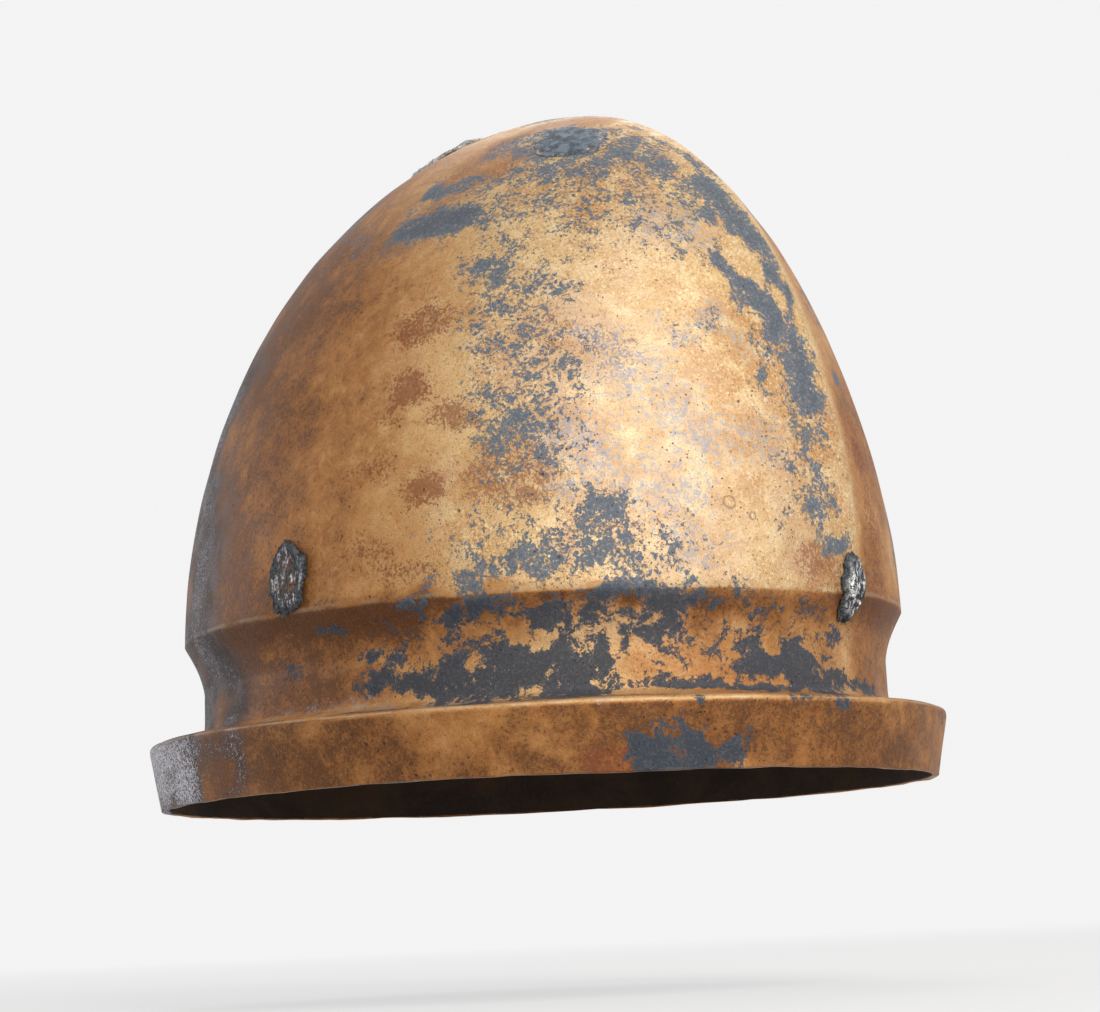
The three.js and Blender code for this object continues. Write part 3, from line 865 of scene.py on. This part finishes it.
def patina():
    """The outside: honey-brown bronze under flakes of slate, russet and lilac stains, with painted shade,
    painted highlights and a painted sheen.
    """
    finish = Finish("patina")
    wide = finish.noise(40, 4, 0.55, 0.4)
    middle = finish.noise(8, 6, 0.62, 0.3)
    grain = finish.noise(0.9, 4, 0.7)
    fine = finish.noise(0.4, 3, 0.7)
    rows = finish.noise(6, 5, 0.65, at=finish.stretched(0.6, 0.6, 1.7))

    # Bronze colour, from the wide clouds down to the sandy grain
    colour = finish.blend(finish.step(wide, 0.38, 0.62), ochre, honey)
    colour = finish.tint(colour, blush, finish.noise(17, 5, 0.6), 0.5, 0.7, 0.5)
    colour = finish.tint(colour, straw, middle, 0.46, 0.66, 0.55)
    colour = finish.tint(colour, amber, rows, 0.52, 0.75, 0.35)
    colour = finish.tint(colour, cream, grain, 0.53, 0.66, 0.6)
    colour = finish.tint(colour, amber, grain, 0.46, 0.34, 0.6)
    colour = finish.tint(colour, umber_brown, fine, 0.44, 0.32, 0.5)
    # Painted highlight: paler cream over the middle of the dome
    pale = finish.product(finish.worn("pale"), finish.step(rows, 0.36, 0.6, 0.15, 0.5))
    colour = finish.blend(pale, colour, highlight_cream)

    # The brown: amber first, then umber, which also carries painted shade; the painted shade is deepest
    # right under the crease
    height = finish.total(finish.height(), finish.swing(rows, 0.8))
    crease_shade_fall = finish.step(height, *crease_shade_fade, 0, crease_shade_depth)
    crease_shade = finish.product(finish.step(height, *crease_shade_edge), crease_shade_fall)
    umber_and_shade = finish.total(finish.worn("umber_and_shade"), crease_shade)
    veins = finish.noise(3.2, 6, 0.75, 0.9)
    uneven = finish.total(finish.swing(middle, 1.0), finish.swing(grain, 2.0), finish.swing(veins, 0.8))
    depth = finish.product(finish.total(umber_and_shade, uneven), finish.step(umber_and_shade, 0.0, 0.25))
    amber_tone = finish.blend(finish.step(grain, 0.40, 0.60), amber, amber_pale)
    colour = finish.tint(colour, amber_tone, depth, 0.0, 0.6, 0.90)
    colour = finish.tint(colour, umber_brown, depth, 0.45, 1.1, 0.86)
    colour = finish.tint(colour, umber_brown, fine, 0.43, 0.30, 0.5)
    colour = finish.tint(colour, honey, fine, 0.57, 0.70, 0.25)

    # Russet stains, dotted and clouded
    russet = finish.worn("russet")
    russet_clouds = finish.swing(finish.noise(3.0, 6, 0.72), 1.4)
    russet_level = finish.total(russet, russet_clouds, finish.swing(grain, 3.0))
    russet_here = finish.step(russet_level, 0.34, 0.76, 0, 0.72)
    russet_here = finish.product(russet_here, finish.step(russet, 0.02, 0.2))
    colour = finish.blend(russet_here, colour, russet_brown)

    # Lilac haze: the last thin film of the crust, worn through everywhere; along the brim it is a painted
    # highlight
    haze = finish.worn("haze")
    haze_crumbs = finish.swing(finish.noise(2.2, 5, 0.75, 0.4), 2.2)
    haze_level = finish.total(haze_crumbs, finish.swing(grain, 2.8), finish.product(haze, 0.6))
    haze_here = finish.step(haze_level, 0.40, 0.56, 0, 0.7)
    haze_here = finish.product(haze_here, finish.step(haze, 0.03, 0.25))
    colour = finish.blend(haze_here, colour, lilac)

    # Slate flakes: coarse islands broken up by fine crumbs, over the density at the vertices.
    # Below the crease they are more solid, and darker as painted shade; on the dome they are paler, with
    # more pale grains, as painted sheen.
    slate = finish.worn("slate")
    solid = finish.worn("solid")
    coarse = finish.maths("SUBTRACT", finish.noise(6.0, 7, 0.68, 0.5), 0.5)
    coarse = finish.product(coarse, finish.between(solid, 1.9, 3.1))
    crumbs = finish.maths("SUBTRACT", finish.noise(1.2, 5, 0.78, 0.4), 0.5)
    crumbs = finish.product(crumbs, finish.between(solid, 2.7, 1.7))
    flake_height = finish.total(coarse, crumbs, slate)
    slate_here = finish.step(flake_height, 0.50, 0.55)
    slate_here = finish.product(slate_here, finish.step(slate, 0.03, 0.15))
    slate_core = finish.step(flake_height, 0.5, finish.between(solid, 1.1, 0.72))
    slate_core = finish.product(slate_core, finish.between(solid, 0.5, 1.0))
    slate_core = finish.maths("MAXIMUM", slate_core, finish.product(solid, 0.7))
    slate_tone = finish.blend(slate_core, slate_mid, slate_dark)
    slate_grain = finish.between(solid, 0.4, 0.14)
    slate_tone = finish.tint(slate_tone, slate_pale, grain, 0.5, 0.68, slate_grain)
    slate_tone = finish.tint(slate_tone, honey, fine, 0.60, 0.70, 0.3)
    colour = finish.blend(finish.product(slate_here, 0.95), colour, slate_tone)

    # Painted sheen of the cool rim lamp on the left edge: bright grey-violet grains over painted shade
    rim_sheen = finish.worn("rim_sheen")
    sheen_shade = finish.blend(finish.step(middle, 0.4, 0.65), paint(38, 31, 31), paint(78, 69, 71))
    colour = finish.tint(colour, sheen_shade, rim_sheen, 0.05, 0.7, 0.9)
    on_band = finish.step(height, 19.5, 17, 0, 0.35)
    rim_sheen_level = finish.total(rim_sheen, finish.swing(grain, 2.8), finish.swing(fine, 2.8), on_band)
    rim_sheen_here = finish.step(rim_sheen_level, 0.85, 1.4, 0, 0.9)
    rim_sheen_here = finish.product(rim_sheen_here, finish.step(rim_sheen, 0.05, 0.4))
    colour = finish.blend(rim_sheen_here, colour, sheen_grey)

    # Dark specks, the mouths of small pits
    speckle = finish.step(finish.noise(13, 4, 0.6), 0.44, 0.6)
    dots = finish.product(finish.step(finish.cells(1.9), 0.17, 0.09), speckle)
    pits = finish.product(finish.step(finish.cells(6.5), 0.085, 0.05), finish.step(middle, 0.42, 0.55))
    holes = finish.maths("MAXIMUM", dots, pits)
    colour = finish.blend(finish.product(holes, 0.75), colour, soot)

    # Scratches, a crack in the band and round pits
    wavering = finish.shifted(3, 0.5)
    marks = 0.0
    for half_width, path in line_marks.values():
        gap = finish.line_gap([on_bowl(x, y) for x, y in path], wavering)
        mark = finish.step(gap, half_width * millimetre, half_width * 0.35 * millimetre)
        marks = finish.maths("MAXIMUM", marks, mark)
    for radius, (x, y) in pit_marks.values():
        gap = finish.vector("DISTANCE", wavering, tuple(on_bowl(x, y)), result="Value")
        off_ring = finish.maths("ABSOLUTE", finish.maths("SUBTRACT", gap, radius * millimetre))
        ring = finish.step(off_ring, 0.5 * millimetre, 0.1 * millimetre, 0, 0.45)
        marks = finish.maths("MAXIMUM", marks, ring)
    colour = finish.blend(finish.product(marks, 0.75), colour, umber_brown)

    # Bright rubbed metal on the edges and, where no crust lies, along the crease, where it is partly a
    # painted highlight
    wear_level = finish.total(finish.worn("edge_wear"), finish.product(middle, 0.6))
    from_crease = finish.maths("ABSOLUTE", finish.maths("SUBTRACT", height, rubbed_highlight_height))
    rubbed_highlight = finish.step(from_crease, rubbed_highlight_reach, 0.2)
    rubbed_highlight = finish.product(rubbed_highlight, finish.step(middle, 0.35, 0.65, 0.0, 0.26))
    rubbed_highlight = finish.product(rubbed_highlight, finish.maths("SUBTRACT", 1, slate_here))
    wear_here = finish.maths("MAXIMUM", finish.step(wear_level, 0.8, 1.2, 0, 0.7), rubbed_highlight)
    colour = finish.blend(wear_here, colour, bare_metal)

    metallic = finish.between(slate_here, 0.38, 0.08)
    metallic = finish.between(russet_here, metallic, 0.35)
    metallic = finish.maths("MAXIMUM", metallic, finish.product(rim_sheen_here, 0.7))
    rough = finish.between(slate_here, finish.step(middle, 0.3, 0.7, 0.60, 0.50), 0.62)
    rough = finish.between(russet_here, rough, 0.64)
    rough = finish.total(rough, finish.step(fine, 0.3, 0.7, -0.05, 0.06))
    finish.surface.inputs["Specular IOR Level"].default_value = 0.3
    flush = finish.maths("SUBTRACT", 1, finish.maths("MAXIMUM", holes, marks))
    bumps = None
    for rise, thickness in (
        (fine, 0.05), (grain, 0.16), (middle, 0.30), (slate_here, 0.07), (rim_sheen_here, 0.2), (flush, 0.25),
    ):
        bumps = finish.relief(rise, thickness, bumps)
    return finish.done(colour, metallic, rough, bumps)


def shaded_inner_bronze():
    """The inside: never polished, dusty and dark brown, darkened further as painted shade."""
    finish = Finish("shaded_inner_bronze")
    wide = finish.noise(28, 5, 0.6, 0.3)
    grain = finish.noise(1.6, 5, 0.7)
    colour = finish.blend(finish.step(wide, 0.35, 0.65), paint(44, 32, 24), paint(74, 52, 34))
    colour = finish.tint(colour, paint(98, 78, 56), grain, 0.55, 0.75, 0.5)
    rough = finish.step(grain, 0.3, 0.7, 0.55, 0.72)
    bumps = finish.relief(wide, 0.4, finish.relief(grain, 0.15))
    return finish.done(colour, 0.2, rough, bumps)


bowl.data.materials.append(patina())
bowl.data.materials.append(shaded_inner_bronze())
below_middle = Vector((0, 0, -0.04))
foot_edge_height = 0.4
for face in bowl.data.polygons:
    looks_in = face.normal.dot(face.center - below_middle) < 0
    if looks_in and face.center.z > foot_edge_height * millimetre:
        face.material_index = 1
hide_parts("helmet_bowl")
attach(bowl, "root")

# The lining ring
# A flat ring of bronze sheet inside the brim, pierced along its inner edge for the
# thread that held a felt or leather lining. It is dark and was never polished.


def sheet_bronze():
    """Dark brown bronze sheet, slightly uneven, with paler grains."""
    finish = Finish("sheet_bronze")
    wide = finish.noise(18, 5, 0.6, 0.4)
    grain = finish.noise(1.2, 5, 0.7)
    colour = finish.blend(finish.step(wide, 0.36, 0.64), paint(62, 46, 32), paint(104, 74, 46))
    colour = finish.tint(colour, paint(134, 104, 70), grain, 0.56, 0.76, 0.45)
    rough = finish.step(wide, 0.3, 0.7, 0.6, 0.45)
    bumps = finish.relief(wide, 0.3, finish.relief(grain, 0.08))
    return finish.done(colour, 0.45, rough, bumps)


lining_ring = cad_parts["lining_ring"]
lining_ring.data.materials.clear()
lining_ring.data.materials.append(sheet_bronze())

# The solder that holds the ring
# Six small beads of soft solder, tin and lead, run in between the ring and the brim.
# They have gone a dull grey.


def roughened(node_name, piece_name, levels, lump_size, lump_height, seed):
    """A smoothed copy of a CAD node with an uneven skin; sizes in millimetres."""
    piece = copy_of(node_name, piece_name)
    rounding = piece.modifiers.new("rounding", "SUBSURF")
    rounding.levels = rounding.render_levels = levels
    rounding.use_limit_surface = False
    bpy.ops.object.modifier_apply(modifier="rounding")
    shift = Vector((seed, -seed, seed * 0.5))
    normals = [vertex.normal.copy() for vertex in piece.data.vertices]
    for vertex, normal in zip(piece.data.vertices, normals):
        place = vertex.co / (lump_size * millimetre) + shift
        rise = noise.fractal(place, 0.8, 2, 4) * lump_height * millimetre
        vertex.co += normal * rise
    piece.data.update()
    bpy.ops.object.select_all(action="DESELECT")
    piece.select_set(True)
    bpy.ops.object.shade_smooth()
    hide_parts(node_name)
    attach(piece, "root")
    return piece


def dull_solder():
    """Soft solder gone grey, with a dusty bloom."""
    finish = Finish("dull_solder")
    lumps = finish.noise(2.0, 5, 0.7, 0.6)
    grain = finish.noise(0.6, 4, 0.7)
    colour = finish.blend(finish.step(lumps, 0.4, 0.6), paint(84, 84, 84), paint(128, 126, 122))
    colour = finish.tint(colour, paint(168, 164, 158), grain, 0.56, 0.7, 0.6)
    rough = finish.step(lumps, 0.3, 0.7, 0.62, 0.5)
    return finish.done(colour, 0.35, rough, finish.relief(grain, 0.1))


tack_solder = dull_solder()
for number in range(1, 7):
    tack = roughened(
        f"ring_solder_tack_{number}", f"ring_tack_{number}",
        levels=2, lump_size=2.5, lump_height=0.22, seed=number * 3.3)
    tack.data.materials.append(tack_solder)

# The solder crusts on the crease and at the crown's rear
# Lead-tin solder that may have held plumes, straps or the crest's ends. What is left is a
# lozenge with a raised rim round a pitted core, on which bright metal shows in streaks.
rim_share, rim_width, rim_rise = 0.78, 0.10, 0.45
hollow_share, hollow_width, hollow_depth = 0.52, 0.12, 0.5
raggedness = 0.22


def middle_of(piece):
    """The middle of a piece's box."""
    return sum((Vector(corner) for corner in piece.bound_box), Vector()) / 8


def ways_on_bowl(place):
    """The ways out of the bowl, across it and up it, where it is nearest to a place."""
    _, _, out, _ = bowl.closest_point_on_mesh(place)
    side = out.cross(Vector((0, 0, 1))).normalized()
    return out, side, side.cross(out)


def over_bowl(place):
    """The foot of a place on the bowl, the way out there and its height along it."""
    _, foot, out, _ = bowl.closest_point_on_mesh(place)
    return foot, out, (place - foot).dot(out)


def stretch_on_bowl(crust, longer, wider, shift, aside):
    """Makes a crust longer towards the crown and wider across, and shifts it both ways in
    millimetres, while every vertex keeps its height over the bowl."""
    middle = middle_of(crust)
    _, side, up = ways_on_bowl(middle)
    for vertex in crust.data.vertices:
        _, _, height = over_bowl(vertex.co)
        spot = vertex.co - middle
        moved = vertex.co + up * (spot.dot(up) * (longer - 1) + shift * millimetre)
        moved += side * (spot.dot(side) * (wider - 1) + aside * millimetre)
        foot, out, _ = over_bowl(moved)
        vertex.co = foot + out * height
    crust.data.update()


def shape_crust(crust, stand_out, taper):
    """Makes the lozenge's outline ragged and narrower towards the top, raises its rim, sinks
    a groove inside it and notes how far out each vertex lies: 0 in the middle, 1 on the edge."""
    middle = middle_of(crust)
    out, side, up = ways_on_bowl(middle)
    spots = [vertex.co - middle for vertex in crust.data.vertices]
    outwardness = [max(vertex.normal.dot(out), 0) for vertex in crust.data.vertices]
    wide = max(abs(spot.dot(side)) for spot in spots)
    tall = max(abs(spot.dot(up)) for spot in spots)
    share_out = []
    for vertex, spot, facing_out in zip(crust.data.vertices, spots, outwardness):
        across, upward = spot.dot(side), spot.dot(up)
        share = min(math.hypot(across / wide, upward / tall), 1)
        share_out.append(share)
        turn = math.atan2(upward / tall, across / wide)
        round_place = Vector((math.cos(turn), math.sin(turn), middle.z * 50)) * 1.8
        reach = noise.fractal(round_place, 0.7, 2, 4) * raggedness * share
        narrower = side * across * taper * upward / tall
        vertex.co += (side * across + up * upward) * reach - narrower
        rim = math.exp(-((share - rim_share) / rim_width) ** 2) * rim_rise
        hollow = math.exp(-((share - hollow_share) / hollow_width) ** 2) * hollow_depth
        vertex.co += out * (rim - hollow + stand_out) * facing_out * millimetre
    keep_on(crust, "out_share", share_out)
    crust.data.update()


def crust_solder(name, skin_tones, core_tone, bright_tone, bright_share, gap_share):
    """A crust with a paler core, streaks of bare metal that run upwards, and gaps through
    which the bronze shows."""
    finish = Finish(name)
    out_share = finish.worn("out_share")
    lumps = finish.noise(2.2, 5, 0.72, 0.8)
    grain = finish.noise(0.5, 4, 0.7)
    streaks = finish.noise(2.4, 5, 0.7, 1.0, at=finish.stretched(1.5, 1.5, 0.42))
    colour = finish.blend(finish.step(lumps, 0.38, 0.62), *skin_tones)
    in_core = finish.step(finish.total(out_share, finish.product(lumps, 0.5)), 0.95, 0.65)
    core = finish.blend(finish.step(streaks, 0.42, 0.58), skin_tones[0], core_tone)
    colour = finish.blend(finish.product(in_core, 0.85), colour, core)
    gaps = finish.noise(3.6, 5, 0.7, 0.8, at=finish.stretched(1.3, 1.3, 0.55, (0.2, 0.1, 0)))
    gaps = finish.product(finish.step(gaps, 0.50, 0.56, 0, gap_share), in_core)
    bronze = finish.blend(finish.step(grain, 0.42, 0.6), umber_brown, amber)
    colour = finish.blend(gaps, colour, bronze)
    spark = finish.step(streaks, 0.60 - bright_share, 0.68 - bright_share)
    covered = finish.maths("SUBTRACT", 1, gaps)
    bright = finish.product(spark, finish.step(out_share, 0.92, 0.6), covered)
    colour = finish.blend(bright, colour, bright_tone)
    cracks = finish.step(finish.cells(1.7, "DISTANCE_TO_EDGE"), 0.10, 0.03)
    colour = finish.blend(finish.product(cracks, 0.4), colour, paint(28, 26, 26))
    metallic, rough = finish.between(bright, 0.15, 0.8), finish.between(bright, 0.62, 0.34)
    bumps = finish.relief(streaks, 0.7, finish.relief(grain, 0.12))
    return finish.done(colour, metallic, rough, finish.relief(cracks, -0.25, bumps))


charcoal = (paint(44, 48, 54), paint(84, 90, 96))
ash = (paint(164, 163, 160), paint(222, 220, 216))
side_solder = crust_solder(
    "side_solder", charcoal, paint(140, 130, 126), paint(204, 196, 196), bright_share=0.06, gap_share=0.9)
keel_solder = crust_solder(
    "keel_solder", charcoal, paint(118, 126, 134), paint(240, 240, 238), bright_share=0.14, gap_share=0.3)
rear_solder = crust_solder(
    "rear_solder", ash, paint(232, 230, 226), paint(250, 249, 246), bright_share=0.10, gap_share=0)

# How far out each crust stands is in millimetres; its taper is a share of its width.
for node_name, piece_name, solder, seed, stand_out, taper in (
    ("right_solder", "right_crust", side_solder, 2.0, -0.6, 0.35),
    ("left_solder", "left_crust", side_solder, 5.0, -0.6, 0.35),
    ("front_solder", "front_crust", keel_solder, 8.0, 0, 0.1),
    ("back_solder", "back_crust", keel_solder, 11.0, 0, 0.1),
    ("crest_rear_solder", "crest_rear_crust", rear_solder, 14.0, 0.5, 0),
):
    crust = roughened(
        node_name, piece_name, levels=3, lump_size=2.6, lump_height=0.42, seed=seed)
    if piece_name == "crest_rear_crust":
        stretch_on_bowl(crust, longer=1.4, wider=1.7, shift=2.5, aside=-4.5)
    shape_crust(crust, stand_out, taper)
    crust.data.materials.append(solder)

# The film of the lost crest foot
# An oval skin of old solder on the wearer's right of the keel, where a foot of the crest
# sat. It is a few tenths of a millimetre thick, and pale grains lie on it.


def slate_film():
    """Slate-grey film with an uneven sheen, bronze showing at its edge."""
    finish = Finish("slate_film")
    lumps = finish.noise(3.5, 5, 0.65, 0.5)
    grain = finish.noise(0.7, 4, 0.7)
    crumbs = finish.noise(1.2, 4, 0.7, 0.4)
    colour = finish.blend(finish.step(lumps, 0.4, 0.62), slate_dark, slate_mid)
    colour = finish.tint(colour, slate_pale, grain, 0.56, 0.7, 0.6)
    worn_level = finish.total(finish.worn("out_share"), finish.product(crumbs, 2.4))
    colour = finish.tint(colour, honey, worn_level, 2.02, 2.12, 0.9)
    rough = finish.step(lumps, 0.3, 0.7, 0.68, 0.52)
    bumps = finish.relief(lumps, 0.05, finish.relief(grain, 0.08))
    return finish.done(colour, 0.1, rough, bumps)


film_share_kept = 0.4
film = roughened(
    "crest_foot_film", "crest_film", levels=3, lump_size=5.0, lump_height=0.05, seed=21.0)
for vertex in film.data.vertices:
    _, out, above = over_bowl(vertex.co)
    if above > 0:
        vertex.co -= out * above * (1 - film_share_kept)
film.data.update()
film_middle = middle_of(film)
reaches = [(vertex.co - film_middle).xy.length for vertex in film.data.vertices]
keep_on(film, "out_share", [reach / max(reaches) for reach in reaches])
film.data.materials.append(slate_film())
